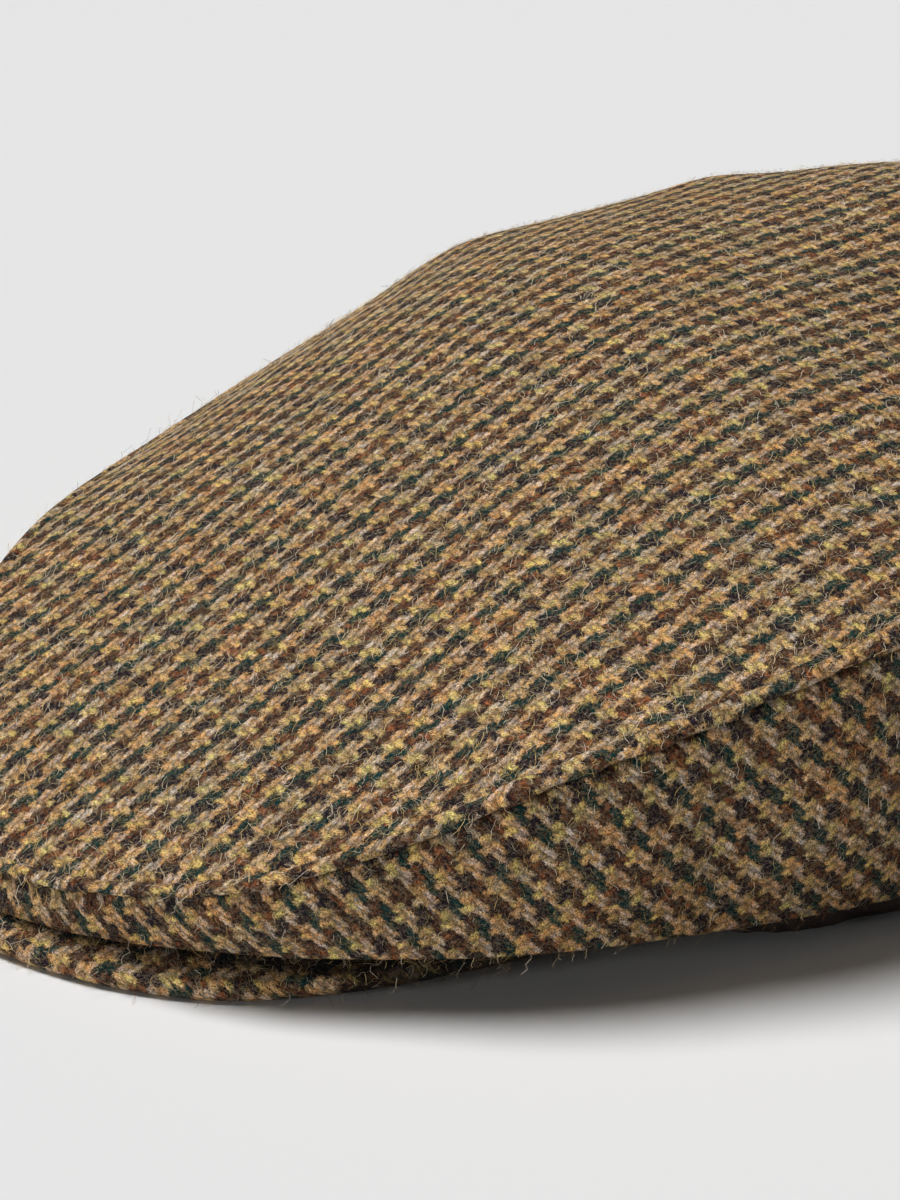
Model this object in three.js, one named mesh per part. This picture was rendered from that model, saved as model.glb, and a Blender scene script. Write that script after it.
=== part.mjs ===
// Flat cap in checked tweed, lying on a flat surface. Millimetres, +Z up.
// +X is the wearer's left, -Y is the front (the peak), z = 0 is the surface that the cap lies on.
// Every piece is a closed wall: cross-sections all the way round it, joined band by band.
import * as THREE from 'three';
import { mergeVertices } from 'three/addons/utils/BufferGeometryUtils.js';

// Driving dimensions
const clothWall = 1.8;        // tweed with its backing
const hemWall = 2.8;          // the same cloth, turned up at the lower edge
const seamGap = 0.25;         // cut back on each side of a seam
const liningWall = 0.9;
const liningClearance = 1.2;  // between the lining and the tweed
const peakWall = 4.2;         // board with tweed on both faces
const lengthMiddle = 5.7;     // the middle of the whole length, in the y of the tables below
const spineReach = 0.45;      // length of the top panel's ridge line, as a share of the panel's
const crownFullness = 2.2;    // how late the top panel drops towards its seam

// Divisions of the pieces
const ribsPerSide = 22;
const crownRings = 8;
const sideRows = 6;
const liningRings = 5;
const liningRows = 5;
const peakStations = 34;
const peakSteps = 5;
const edgeSteps = 2;

// The top panel along the middle of the cap, front to back: its height, how much it leans there (its
// rise per millimetre towards the wearer's left), and how far its right edge has sunk
const middleLine = [
  { y: -125.3, z: 11.8, lean: 0, sag: 0 },
  { y: -101.5, z: 25.0, lean: 0.01, sag: 0 },
  { y: -71.5, z: 40.6, lean: 0.03, sag: 2.5 },
  { y: -41.5, z: 56.2, lean: 0.045, sag: 6.5 },
  { y: -11.5, z: 70.3, lean: 0.028, sag: 11.5 },
  { y: 4.5, z: 76.6, lean: 0, sag: 13.5 },
  { y: 19.5, z: 80.5, lean: -0.03, sag: 15.5 },
  { y: 60, z: 85.0, lean: -0.06, sag: 15.5 },
  { y: 100, z: 89.0, lean: -0.06, sag: 9 },
  { y: 122, z: 81.5, lean: -0.035, sag: 2 },
  { y: 142, z: 60, lean: 0, sag: 0 },
];

// The left side panel, centre front to centre back: its seam with the top panel, and its lower edge
const sideRibs = [
  { seamX: 0, seamY: -125.3, seamZ: 11.8, hemX: 0, hemY: -127.3, hemZ: 5.6 },
  { seamX: 26, seamY: -120.2, seamZ: 15.0, hemX: 25, hemY: -119.2, hemZ: 6.0 },
  { seamX: 51.6, seamY: -106.1, seamZ: 21.4, hemX: 49, hemY: -101.5, hemZ: 7.4 },
  { seamX: 68.1, seamY: -87.4, seamZ: 30.6, hemX: 65, hemY: -85, hemZ: 8.6 },
  { seamX: 82.2, seamY: -67.2, seamZ: 41.7, hemX: 76.3, hemY: -67.5, hemZ: 9.0 },
  { seamX: 92, seamY: -45, seamZ: 49.6, hemX: 84, hemY: -44, hemZ: 8.3 },
  { seamX: 101, seamY: -15, seamZ: 59, hemX: 90.3, hemY: -10, hemZ: 6.8 },
  { seamX: 104.5, seamY: 27, seamZ: 63.5, hemX: 92, hemY: 30, hemZ: 4.6 },
  { seamX: 99, seamY: 76, seamZ: 65, hemX: 84, hemY: 78, hemZ: 2.2 },
  { seamX: 76, seamY: 115, seamZ: 63, hemX: 60, hemY: 112, hemZ: 0 },
  { seamX: 40, seamY: 136, seamZ: 61, hemX: 30, hemY: 129.5, hemZ: 0 },
  { seamX: 0, seamY: 142, seamZ: 60, hemX: 0, hemY: 134, hemZ: 0 },
];

// On the same ribs: how far the side panel stands out between seam and lower edge, and how far the
// lower edge is turned in and up (or down)
const sideFolds = [
  { bulge: 0.4, turnIn: 9, turnUp: 2.0 },
  { bulge: 0.5, turnIn: 9, turnUp: 2.2 },
  { bulge: 0.8, turnIn: 9, turnUp: 1.3 },
  { bulge: 1.2, turnIn: 9, turnUp: -0.2 },
  { bulge: 1.6, turnIn: 9, turnUp: 0.2 },
  { bulge: 2.0, turnIn: 5, turnUp: 0.2 },
  { bulge: 2.6, turnIn: hemWall, turnUp: 0 },
  { bulge: 3.0, turnIn: hemWall, turnUp: 0 },
  { bulge: 3.4, turnIn: hemWall, turnUp: 0 },
  { bulge: 3.8, turnIn: hemWall, turnUp: 0 },
  { bulge: 4.0, turnIn: hemWall, turnUp: 0 },
  { bulge: 4.0, turnIn: hemWall, turnUp: 0 },
];

// The left half of the peak, centre front to corner: its lower face at the outer and the inner edge
const peakRibs = [
  { outerX: 0, outerY: -131.5, outerZ: 0, innerX: 0, innerY: -76, innerZ: 12.5 },
  { outerX: 26, outerY: -124.6, outerZ: 0, innerX: 20, innerY: -74, innerZ: 12 },
  { outerX: 46, outerY: -110.5, outerZ: 0, innerX: 38, innerY: -67.5, innerZ: 10.8 },
  { outerX: 59.5, outerY: -91, outerZ: 1.5, innerX: 52, innerY: -57.5, innerZ: 9.0 },
  { outerX: 68, outerY: -70, outerZ: 3.4, innerX: 61, innerY: -49.5, innerZ: 7.0 },
  { outerX: 71.5, outerY: -56, outerZ: 4.4, innerX: 67, innerY: -44, innerZ: 5.6 },
];

// The left half of the lining, on the side panel's ribs: how far out it follows the top panel, and
// its lower edge, which meets the peak in front and hangs below the hem at the sides
const liningRibs = [
  { topShare: 0.12, rimX: 0, rimY: -75.4, rimZ: 13.6 },
  { topShare: 0.2, rimX: 19, rimY: -73.6, rimZ: 13.0 },
  { topShare: 0.38, rimX: 36, rimY: -67.4, rimZ: 11.8 },
  { topShare: 0.64, rimX: 51, rimY: -57.3, rimZ: 9.8 },
  { topShare: 0.84, rimX: 65, rimY: -41.5, rimZ: 7.0 },
  { topShare: 0.92, rimX: 79, rimY: -28, rimZ: 2.4 },
  { topShare: 0.95, rimX: 85.7, rimY: -6, rimZ: 1.2 },
  { topShare: 0.95, rimX: 87.6, rimY: 30, rimZ: 1.2 },
  { topShare: 0.95, rimX: 80.5, rimY: 75.5, rimZ: 1.0 },
  { topShare: 0.95, rimX: 58, rimY: 108, rimZ: 1.0 },
  { topShare: 0.95, rimX: 29, rimY: 125.3, rimZ: 1.0 },
  { topShare: 0.95, rimX: 0, rimY: 130.2, rimZ: 1.0 },
];

// Smooth curve through a table's rows. A table starts on the middle plane, and past it come the
// mirror images of its rows. Its far end does the same, or runs on where the piece has a corner.
function throughRows(rows, position) {
  const last = rows.length - 1;
  const start = Math.min(Math.floor(position), last - 1);
  const f = position - start;
  const names = Object.keys(rows[0]);
  const endsOnPlane = rows !== peakRibs;
  const mirrored = (index, name) => (name.endsWith('X') ? -rows[index][name] : rows[index][name]);
  const value = (index, name) => {
    if (index < 0) return mirrored(-index, name);
    if (index <= last) return rows[index][name];
    return endsOnPlane ? mirrored(last - 1, name) : 2 * rows[last][name] - rows[last - 1][name];
  };
  const result = {};
  for (const name of names) {
    const [a, b, c, d] = [-1, 0, 1, 2].map((step) => value(start + step, name));
    const bend = 2 * a - 5 * b + 4 * c - d + (3 * b - a - 3 * c + d) * f;
    result[name] = b + 0.5 * f * (c - a + f * bend);
  }
  return result;
}

// A column of the middle line at a distance y along the cap
function onMiddleLine(column, y) {
  const last = middleLine.length - 1;
  let k = 0;
  while (k < last - 1 && y > middleLine[k + 1].y) k += 1;
  const slope = (i) => {
    const before = middleLine[Math.max(i - 1, 0)];
    const after = middleLine[Math.min(i + 1, last)];
    return (after[column] - before[column]) / (after.y - before.y);
  };
  const from = middleLine[k];
  const to = middleLine[k + 1];
  const span = to.y - from.y;
  const f = THREE.MathUtils.clamp((y - from.y) / span, 0, 1);
  const ease = f * f * (3 - 2 * f);
  const curve = span * f * (1 - f) * (slope(k) * (1 - f) - slope(k + 1) * f);
  return from[column] + (to[column] - from[column]) * ease + curve;
}

// Where rib number i of a whole loop lies: its side of the cap and its row position in a table
function ribPlace(i, rows) {
  const loop = 2 * ribsPerSide;
  const step = ((i % loop) + loop) % loop;
  const side = step <= ribsPerSide ? 1 : -1;
  const count = side > 0 ? step : loop - step;
  return { side, position: (count / ribsPerSide) * (rows.length - 1) };
}

// Outer face of the top panel: share 0 is the ridge line, share 1 is the seam
function crownPoint(i, share) {
  const { side, position } = ribPlace(i, sideRibs);
  const rib = throughRows(sideRibs, position);
  const x = side * rib.seamX * share;
  const y = THREE.MathUtils.lerp(rib.seamY * spineReach, rib.seamY, share);
  const leanAtSeam = onMiddleLine('lean', rib.seamY) * rib.seamX;
  const drop = onMiddleLine('z', rib.seamY) + leanAtSeam - rib.seamZ;
  const sunk = side < 0 ? onMiddleLine('sag', rib.seamY) * share ** 3 : 0;
  const z = onMiddleLine('z', y) + onMiddleLine('lean', y) * x - drop * share ** crownFullness - sunk;
  return new THREE.Vector3(x, y, z);
}

// Outer face of a side panel: share 0 is the seam, share 1 is the lower edge
function sidePoint(i, share) {
  const { side, position } = ribPlace(i, sideRibs);
  const rib = throughRows(sideRibs, position);
  const fold = throughRows(sideFolds, position);
  const hem = new THREE.Vector3(side * rib.hemX, rib.hemY, Math.max(rib.hemZ, 0));
  const stand = fold.bulge * 4 * share * (1 - share);
  return crownPoint(i, 1).lerp(hem, share).addScaledVector(hemOutward(i), stand);
}

// Level direction that points out of the cap at a rib's lower edge
function hemOutward(i) {
  const edge = (k) => {
    const { side, position } = ribPlace(k, sideRibs);
    const rib = throughRows(sideRibs, position);
    return new THREE.Vector3(side * rib.hemX, rib.hemY, 0);
  };
  const along = edge(i + 0.5).sub(edge(i - 0.5));
  return new THREE.Vector3(along.y, -along.x, 0).normalize();
}

// Inward normal of a face given as a function of rib and share
function inwardNormal(face, i, share) {
  const step = 0.02;
  const along = face(i + 0.5, share).sub(face(i - 0.5, share));
  const across = face(i, Math.min(share + step, 1)).sub(face(i, Math.max(share - step, 0)));
  const normal = new THREE.Vector3().crossVectors(along, across);
  if (share === 0 && face === crownPoint) {
    const { y } = face(i, 0);
    const rise = onMiddleLine('z', y + step) - onMiddleLine('z', y - step);
    normal.set(onMiddleLine('lean', y), rise / (2 * step), -1);
  }
  return normal.normalize();
}

// How the two panels meet at the seam: the shared inner corner, and the way back into each panel
function seamMitre(i) {
  const corner = crownPoint(i, 1);
  const top = inwardNormal(crownPoint, i, 1);
  const side = inwardNormal(sidePoint, i, 0);
  const inner = top.clone().add(side).multiplyScalar(clothWall / (1 + top.dot(side)));
  return {
    inner: corner.clone().add(inner),
    intoTop: crownPoint(i, 0.95).sub(corner).normalize(),
    intoSide: sidePoint(i, 0.05).sub(corner).normalize(),
  };
}

// Body from cross-sections. Sections run round a loop or end in caps; each section is a closed ring
// of points, or an open one whose two ends meet those of the section across the ridge.
function bodyFromSections(sections, { loop, closedSection }) {
  const size = sections[0].length;
  const points = sections.flat();
  const index = [];
  const bands = loop ? sections.length : sections.length - 1;
  for (let i = 0; i < bands; i += 1) {
    const here = i * size;
    const next = ((i + 1) % sections.length) * size;
    for (let j = 0; j < (closedSection ? size : size - 1); j += 1) {
      const k = (j + 1) % size;
      index.push(here + j, here + k, next + k, here + j, next + k, next + j);
    }
  }
  if (!loop) {
    const end = (sections.length - 1) * size;
    for (let j = 0; j + 1 < size / 2; j += 1) {
      const [a, b, c, d] = [j, j + 1, size - 2 - j, size - 1 - j];
      index.push(a, c, b, a, d, c);
      index.push(end + a, end + b, end + c, end + a, end + c, end + d);
    }
  }
  return closedGeometry(points, index);
}

// Shared corners are merged, and triangles that have shrunk to a line are dropped
function closedGeometry(points, index) {
  const raw = new THREE.BufferGeometry();
  const positions = points.flatMap((p) => [p.x, p.y, p.z]);
  raw.setAttribute('position', new THREE.Float32BufferAttribute(positions, 3));
  raw.setIndex(index);
  const merged = mergeVertices(raw, 1e-3);
  const corners = merged.getIndex().array;
  const kept = [];
  for (let t = 0; t < corners.length; t += 3) {
    const [a, b, c] = [corners[t], corners[t + 1], corners[t + 2]];
    if (a !== b && b !== c && c !== a) kept.push(a, b, c);
  }
  merged.setIndex(kept);
  merged.computeVertexNormals();
  return merged;
}

function shares(count) {
  return Array.from({ length: count + 1 }, (_, k) => k / count);
}

// The top panel: one loop of ribs, each from the ridge line out to the seam and back underneath
function topPanelGeometry() {
  const sections = [];
  for (let i = 0; i < 2 * ribsPerSide; i += 1) {
    const mitre = seamMitre(i);
    const outer = shares(crownRings).map((share) => crownPoint(i, share));
    const inner = shares(crownRings).map((share) => (
      crownPoint(i, share).addScaledVector(inwardNormal(crownPoint, i, share), clothWall)));
    outer[crownRings].addScaledVector(mitre.intoTop, seamGap);
    inner[crownRings].copy(mitre.inner).addScaledVector(mitre.intoTop, seamGap);
    sections.push([...outer, ...inner.reverse()]);
  }
  return bodyFromSections(sections, { loop: true, closedSection: false });
}

// A side panel: from centre front to centre back on one side, with its lower edge turned in
function sidePanelGeometry(side) {
  const sections = [];
  for (let count = 0; count <= ribsPerSide; count += 1) {
    const i = side * count;
    const mitre = seamMitre(i);
    const { position } = ribPlace(i, sideFolds);
    const fold = throughRows(sideFolds, position);
    const out = hemOutward(i);
    const outer = shares(sideRows).map((share) => sidePoint(i, share));
    const lowest = outer[sideRows];
    const turn = lowest.clone().addScaledVector(out, -fold.turnIn);
    turn.z = Math.max(lowest.z + fold.turnUp, 0);
    const turnTop = turn.clone().setZ(turn.z + clothWall);
    const inner = shares(sideRows).slice(1, -1).map((share) => {
      const wall = THREE.MathUtils.lerp(clothWall, hemWall, share ** 4);
      return sidePoint(i, share).addScaledVector(inwardNormal(sidePoint, i, share), wall);
    });
    outer[0].addScaledVector(mitre.intoSide, seamGap);
    inner.unshift(mitre.inner.addScaledVector(mitre.intoSide, seamGap));
    const section = [...outer, turn, turnTop, ...inner.reverse()];
    if (count === 0 || count === ribsPerSide) {
      for (const point of section) point.x = side * seamGap;
    }
    sections.push(side > 0 ? section : section.reverse());
  }
  return bodyFromSections(sections, { loop: false, closedSection: true });
}

// The lining: a dome under the top panel and a wall down to its rim
function liningGeometry() {
  const sections = [];
  const depth = clothWall + liningClearance;
  for (let i = 0; i < 2 * ribsPerSide; i += 1) {
    const { side, position } = ribPlace(i, liningRibs);
    const rib = throughRows(liningRibs, position);
    const rim = new THREE.Vector3(side * rib.rimX, rib.rimY, rib.rimZ);
    const dome = (share, offset) => crownPoint(i, share)
      .addScaledVector(inwardNormal(crownPoint, i, share), offset);
    const wallPoint = (share, offset) => {
      const top = dome(rib.topShare, offset);
      const outward = new THREE.Vector3(rim.x, rim.y, 0).normalize();
      const foot = rim.clone().addScaledVector(outward, depth - offset);
      return top.lerp(foot, share);
    };
    const skin = (offset) => [
      ...shares(liningRings).map((share) => dome(share * rib.topShare, offset)),
      ...shares(liningRows).slice(1).map((share) => wallPoint(share, offset)),
    ];
    sections.push([...skin(depth), ...skin(depth + liningWall).reverse()]);
  }
  return bodyFromSections(sections, { loop: true, closedSection: false });
}

// The peak: corner to corner, its section a plate with rounded edges that rises towards the head
function peakGeometry() {
  const sections = [];
  const radius = peakWall / 2;
  for (let k = -peakStations / 2; k <= peakStations / 2; k += 1) {
    const side = k < 0 ? -1 : 1;
    const position = (Math.abs(k) / (peakStations / 2)) * (peakRibs.length - 1);
    const rib = throughRows(peakRibs, position);
    const outer = new THREE.Vector3(side * rib.outerX, rib.outerY, Math.max(rib.outerZ, 0));
    const inner = new THREE.Vector3(side * rib.innerX, rib.innerY, rib.innerZ);
    const back = inner.clone().sub(outer);
    const level = new THREE.Vector3(back.x, back.y, 0).normalize();
    const face = (share, height) => outer.clone()
      .addScaledVector(level, radius)
      .lerp(inner.clone().addScaledVector(level, -radius), share)
      .setZ(THREE.MathUtils.lerp(outer.z, inner.z, share) + height);
    const round = (share, outward, turn) => face(share, radius - radius * Math.cos(turn))
      .addScaledVector(level, outward * radius * Math.sin(turn));
    const edge = (share, outward) => shares(edgeSteps * 2).slice(1, -1)
      .map((f) => round(share, outward, f * Math.PI));
    const lower = shares(peakSteps).map((share) => face(share, 0));
    const upper = shares(peakSteps).map((share) => face(share, peakWall));
    const section = [...lower, ...edge(1, 1), ...upper.reverse(), ...edge(0, -1).reverse()];
    const halfEdge = Math.floor((2 * edgeSteps - 1) / 2);
    sections.push([...section.slice(-halfEdge), ...section.slice(0, section.length - halfEdge)]);
  }
  return bodyFromSections(sections, { loop: false, closedSection: true });
}

const tweed = new THREE.MeshStandardMaterial({ color: 0x7a6446, roughness: 0.95, metalness: 0 });
const satin = new THREE.MeshStandardMaterial({ color: 0x2a201c, roughness: 0.45, metalness: 0 });

const cap = new THREE.Group();

function addPiece(name, geometry, material) {
  const piece = new THREE.Mesh(geometry.translate(0, -lengthMiddle, 0), material);
  piece.name = name;
  cap.add(piece);
}

addPiece('top_panel', topPanelGeometry(), tweed);
addPiece('side_panel_left', sidePanelGeometry(1), tweed.clone());
addPiece('side_panel_right', sidePanelGeometry(-1), tweed.clone());
addPiece('peak', peakGeometry(), tweed.clone());
addPiece('lining', liningGeometry(), satin);

export default cap;
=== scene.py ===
import math
import bpy
import bmesh
import numpy as np
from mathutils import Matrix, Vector
from mathutils.bvhtree import BVHTree


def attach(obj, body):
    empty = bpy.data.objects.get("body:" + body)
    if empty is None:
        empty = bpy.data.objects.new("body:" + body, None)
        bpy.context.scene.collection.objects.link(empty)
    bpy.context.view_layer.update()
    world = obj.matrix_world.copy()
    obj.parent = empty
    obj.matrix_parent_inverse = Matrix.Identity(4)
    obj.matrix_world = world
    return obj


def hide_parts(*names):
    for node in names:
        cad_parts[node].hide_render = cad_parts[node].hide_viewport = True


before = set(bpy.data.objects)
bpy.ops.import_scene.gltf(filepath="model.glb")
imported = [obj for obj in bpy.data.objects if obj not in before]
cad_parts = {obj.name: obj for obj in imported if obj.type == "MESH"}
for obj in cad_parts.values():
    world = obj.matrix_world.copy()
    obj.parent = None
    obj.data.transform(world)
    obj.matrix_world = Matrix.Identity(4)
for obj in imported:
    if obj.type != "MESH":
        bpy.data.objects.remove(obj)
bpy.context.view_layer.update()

scene = bpy.context.scene
mm = 0.001
lengthMiddle = 5.7   # the shape tables' y starts here from the frame's origin
halfRound = 11       # ribs of the tables from centre front to centre back
fullRound = 22       # and all round the cap
ribPitch = 34.0      # seam from one rib to the next, about
spineReach = 0.45    # length of the top's ridge line, as a share of the top's
crownFullness = 2.2  # how late the top drops towards its seam


def unit(vectors):
    return vectors / np.maximum(np.linalg.norm(vectors, axis=-1, keepdims=True), 1e-9)


def smoothStep(low, high, value):
    t = np.clip((value - low) / (high - low), 0, 1)
    return t * t * (3 - 2 * t)


# smooth random numbers over a plane or a line, the same each run
def softNoise(x, y, seed, size):
    rng = np.random.default_rng(seed)
    total = np.zeros(np.broadcast(x, y).shape)
    for turn in range(7):
        angle, phase = rng.uniform(0, 2 * math.pi, 2)
        wave = 2 * math.pi / (size * rng.uniform(0.7, 1.6))
        total = total + np.sin((x * math.cos(angle) + y * math.sin(angle)) * wave + phase)
    return total / 2.6


# a body from sections: rows are sections, columns run round each of them
def sweptMesh(name, sections, cloth, loopRows, loopColumns, shown, paintedShade):
    rows, columns = sections.shape[:2]
    mesh = bpy.data.meshes.new(name)
    index = np.arange(rows * columns).reshape(rows, columns)
    below = index if loopRows else index[:-1]
    above = np.roll(index, -1, 0) if loopRows else index[1:]
    right = np.roll(np.arange(columns), -1)
    if not loopColumns:
        right = right[:-1]
    left = np.arange(len(right))
    faces = np.stack([below[:, left], below[:, right], above[:, right], above[:, left]], -1)
    faces = faces.reshape(-1, 4)
    mesh.from_pydata(sections.reshape(-1, 3) * mm, [], faces.tolist())
    layer = mesh.uv_layers.new(name="cloth")
    corners = np.empty(len(mesh.loops), dtype=np.int32)
    mesh.loops.foreach_get("vertex_index", corners)
    layer.data.foreach_set("uv", cloth.reshape(-1, 2)[corners].astype(np.float32).ravel())
    nap = mesh.attributes.new("nap", "FLOAT", "POINT")
    nap.data.foreach_set("value", np.tile(np.asarray(shown, np.float32), rows))
    # painted shade: each point's share of darkening where the cloth lies folded away from the light
    paintedShadeLayer = mesh.attributes.new("paintedShade", "FLOAT", "POINT")
    paintedShadeLayer.data.foreach_set("value", (np.zeros((rows, columns)) + paintedShade).astype(np.float32).ravel())
    return mesh


# doubles merged, open section ends closed, normals outwards, smooth shading
def finishedObject(name, mesh, closeEnds=False):
    work = bmesh.new()
    work.from_mesh(mesh)
    bmesh.ops.remove_doubles(work, verts=work.verts, dist=0.00002)
    if closeEnds:
        bmesh.ops.holes_fill(work, edges=[e for e in work.edges if e.is_boundary], sides=0)
        work.faces.ensure_lookup_table()
        ends = [face for face in work.faces if len(face.verts) > 4]
        bmesh.ops.triangulate(work, faces=ends)
    bmesh.ops.recalc_face_normals(work, faces=work.faces)
    for face in work.faces:
        face.smooth = True
    work.to_mesh(mesh)
    work.free()
    made = bpy.data.objects.new(name, mesh)
    scene.collection.objects.link(made)
    return made


# along the middle of the top panel, front to back: height, sideways lean, how far the right has sunk
middleLine = {
    "y": [-125.3, -101.5, -71.5, -41.5, -11.5, 4.5, 19.5, 60, 100, 122, 142],
    "z": [11.8, 25, 40.6, 56.2, 70.3, 76.6, 80.5, 85, 89, 81.5, 60],
    "lean": [0, 0.01, 0.03, 0.045, 0.028, 0, -0.03, -0.06, -0.06, -0.035, 0],
    "sag": [0, 0, 2.5, 6.5, 11.5, 13.5, 15.5, 15.5, 9, 2, 0],
}

# the left side panel, centre front to centre back: its seam, its lower edge, and how far it bulges
sideRibs = {
    "seamX": [0, 26, 51.6, 68.1, 82.2, 92, 101, 104.5, 99, 76, 40, 0],
    "seamY": [-125.3, -120.2, -106.1, -87.4, -67.2, -45, -15, 27, 76, 115, 136, 142],
    "seamZ": [11.8, 15, 21.4, 30.6, 41.7, 49.6, 59, 63.5, 65, 63, 61, 60],
    "hemX": [0, 25, 49, 65, 76.3, 84, 90.3, 92, 84, 60, 30, 0],
    "hemY": [-127.3, -119.2, -101.5, -85, -67.5, -44, -10, 30, 78, 112, 129.5, 134],
    "hemZ": [5.6, 6, 7.4, 8.6, 9, 8.3, 6.8, 4.6, 2.2, 0, 0, 0],
    "bulge": [0.4, 0.5, 0.8, 1.2, 1.6, 2, 2.6, 3, 3.4, 3.8, 4, 4],
    "turnIn": [9, 9, 9, 9, 9, 5, 2.8, 2.8, 2.8, 2.8, 2.8, 2.8],
    "turnUp": [2, 2.2, 1.3, -0.2, 0.2, 0.2, 0, 0, 0, 0, 0, 0],
}

# the left half of the peak, centre front to corner: its lower face at the outer and inner edge
peakRibs = {
    "outerX": [0, 26, 46, 59.5, 68, 71.5],
    "outerY": [-131.5, -124.6, -110.5, -91, -70, -56],
    "outerZ": [0, 0, 0, 1.5, 3.4, 4.4],
    "innerX": [0, 20, 38, 52, 61, 67],
    "innerY": [-76, -74, -67.5, -57.5, -49.5, -44],
    "innerZ": [12.5, 12, 10.8, 9, 7, 5.6],
}

# the left half of the lining: how far out it follows the top panel, and its rim
liningRibs = {
    "topShare": [0.12, 0.2, 0.38, 0.64, 0.84, 0.92, 0.95, 0.95, 0.95, 0.95, 0.95, 0.95],
    "rimX": [0, 19, 36, 51, 65, 79, 85.7, 87.6, 80.5, 58, 29, 0],
    "rimY": [-75.4, -73.6, -67.4, -57.3, -41.5, -28, -6, 30, 75.5, 108, 125.3, 130.2],
    "rimZ": [13.6, 13, 11.8, 9.8, 7, 2.4, 1.2, 1.2, 1, 1, 1, 1],
}


# smooth curve through a table, mirrored past its ends unless the piece has a corner there
def throughRows(table, position, hasCorner=False):
    values = np.array(list(table.values()), float)
    names = list(table)
    last = values.shape[1] - 1
    sign = np.array([-1 if name.endswith("X") else 1 for name in names])
    end = 2 * values[:, last] - values[:, last - 1] if hasCorner else sign * values[:, last - 1]
    padded = np.column_stack([sign * values[:, 1], values, end])
    start = np.minimum(np.floor(position).astype(int), last - 1)
    f = position - start
    a, b, c, d = [padded[:, start + step] for step in range(4)]
    bend = 2 * a - 5 * b + 4 * c - d + (3 * b - a - 3 * c + d) * f
    return dict(zip(names, b + 0.5 * f * (c - a + f * bend)))


def onMiddleLine(column, y):
    ys = np.array(middleLine["y"], float)
    values = np.array(middleLine[column], float)
    before = np.maximum(np.arange(len(ys)) - 1, 0)
    after = np.minimum(np.arange(len(ys)) + 1, len(ys) - 1)
    slope = (values[after] - values[before]) / (ys[after] - ys[before])
    k = np.clip(np.searchsorted(ys, y) - 1, 0, len(ys) - 2)
    span = ys[k + 1] - ys[k]
    f = np.clip((y - ys[k]) / span, 0, 1)
    rise = (values[k + 1] - values[k]) * f * f * (3 - 2 * f)
    return values[k] + rise + span * f * (1 - f) * (slope[k] * (1 - f) - slope[k + 1] * f)


# turn counts ribs once round the cap, from centre front over the left
def ribPlace(turn):
    turn = np.mod(turn, fullRound)
    onLeft = turn <= halfRound
    return np.where(onLeft, 1, -1), np.where(onLeft, turn, fullRound - turn)


def crownShape(turn, share):
    side, position = ribPlace(turn)
    rib = throughRows(sideRibs, position)
    x = side * rib["seamX"] * share
    y = rib["seamY"] * (spineReach + (1 - spineReach) * share)
    leanAtSeam = onMiddleLine("lean", rib["seamY"]) * rib["seamX"]
    drop = onMiddleLine("z", rib["seamY"]) + leanAtSeam - rib["seamZ"]
    sunk = np.where(side < 0, onMiddleLine("sag", rib["seamY"]) * share ** 3, 0)
    z = onMiddleLine("z", y) + onMiddleLine("lean", y) * x - drop * share ** crownFullness - sunk
    return np.stack([x, y - lengthMiddle, z], -1)


# the right half is drawn smoother than its ribs, and settles a little lower behind the front
def crownPoint(turn, share):
    side, position = ribPlace(turn)
    calm = np.where(side < 0, smoothStep(1, 2.5, position) * smoothStep(10, 8.5, position), 0)
    mean = 0
    for step, part in ((-0.8, 0.12), (-0.4, 0.24), (0, 0.28), (0.4, 0.24), (0.8, 0.12)):
        mean = mean + part * crownShape(turn + step, share)
    mean[..., 2] -= share ** 3 * smoothStep(5, 7, position)
    point = crownShape(turn, share)
    return point + (mean - point) * calm[..., None]


def hemPoint(turn):
    side, position = ribPlace(turn)
    rib = throughRows(sideRibs, position)
    return np.stack([side * rib["hemX"], rib["hemY"] - lengthMiddle, np.maximum(rib["hemZ"], 0)], -1)


def hemOutward(turn):
    along = hemPoint(turn + 0.25) - hemPoint(turn - 0.25)
    return unit(np.stack([along[..., 1], -along[..., 0], 0 * along[..., 0]], -1))


def sidePoint(turn, share):
    side, position = ribPlace(turn)
    stand = throughRows(sideRibs, position)["bulge"] * 4 * share * (1 - share)
    seam = crownPoint(turn, np.ones_like(share))
    return seam + (hemPoint(turn) - seam) * share[..., None] + hemOutward(turn) * stand[..., None]


# outward normal of a face given by turn and share
def outwardNormal(face, turn, share):
    step = 0.01
    along = face(turn + 0.05, share) - face(turn - 0.05, share)
    across = face(turn, np.minimum(share + step, 1)) - face(turn, np.maximum(share - step, 0))
    return unit(np.cross(across, along))


def placesRound(count):
    return np.arange(count) * fullRound / count


# how the check lies on each panel, counted in pairs: one dark and one light stripe, in millimetres
check = {
    "pair": 5.5,
    "topStart": (-3.35, 0.4),    # pairs across and along, where the top's count starts
    "countFrom": -62.2,          # that place, along the cap
    "frontEase": 0.8,            # pairs taken up 100 mm in front of the middle
    "sideSweep": 0.4,            # pairs that the cross stripes trail 100 mm off the middle
    "peakStart": (0.3, 0.2),
}

# a side panel is cut on the bias: each set of stripes has its own pair and direction in degrees
biasCut = {
    "middle": (110, 12),         # place on the flat panel, along the seam and up from it
    "start": (2.1, 0.05),
    "across": (4.65, 217),
    "along": (6.3, -52),
}


gridStep = 3.0
steepest = 6         # rise in one step of the grid, so that the drop at the seam doesn't count


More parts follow.
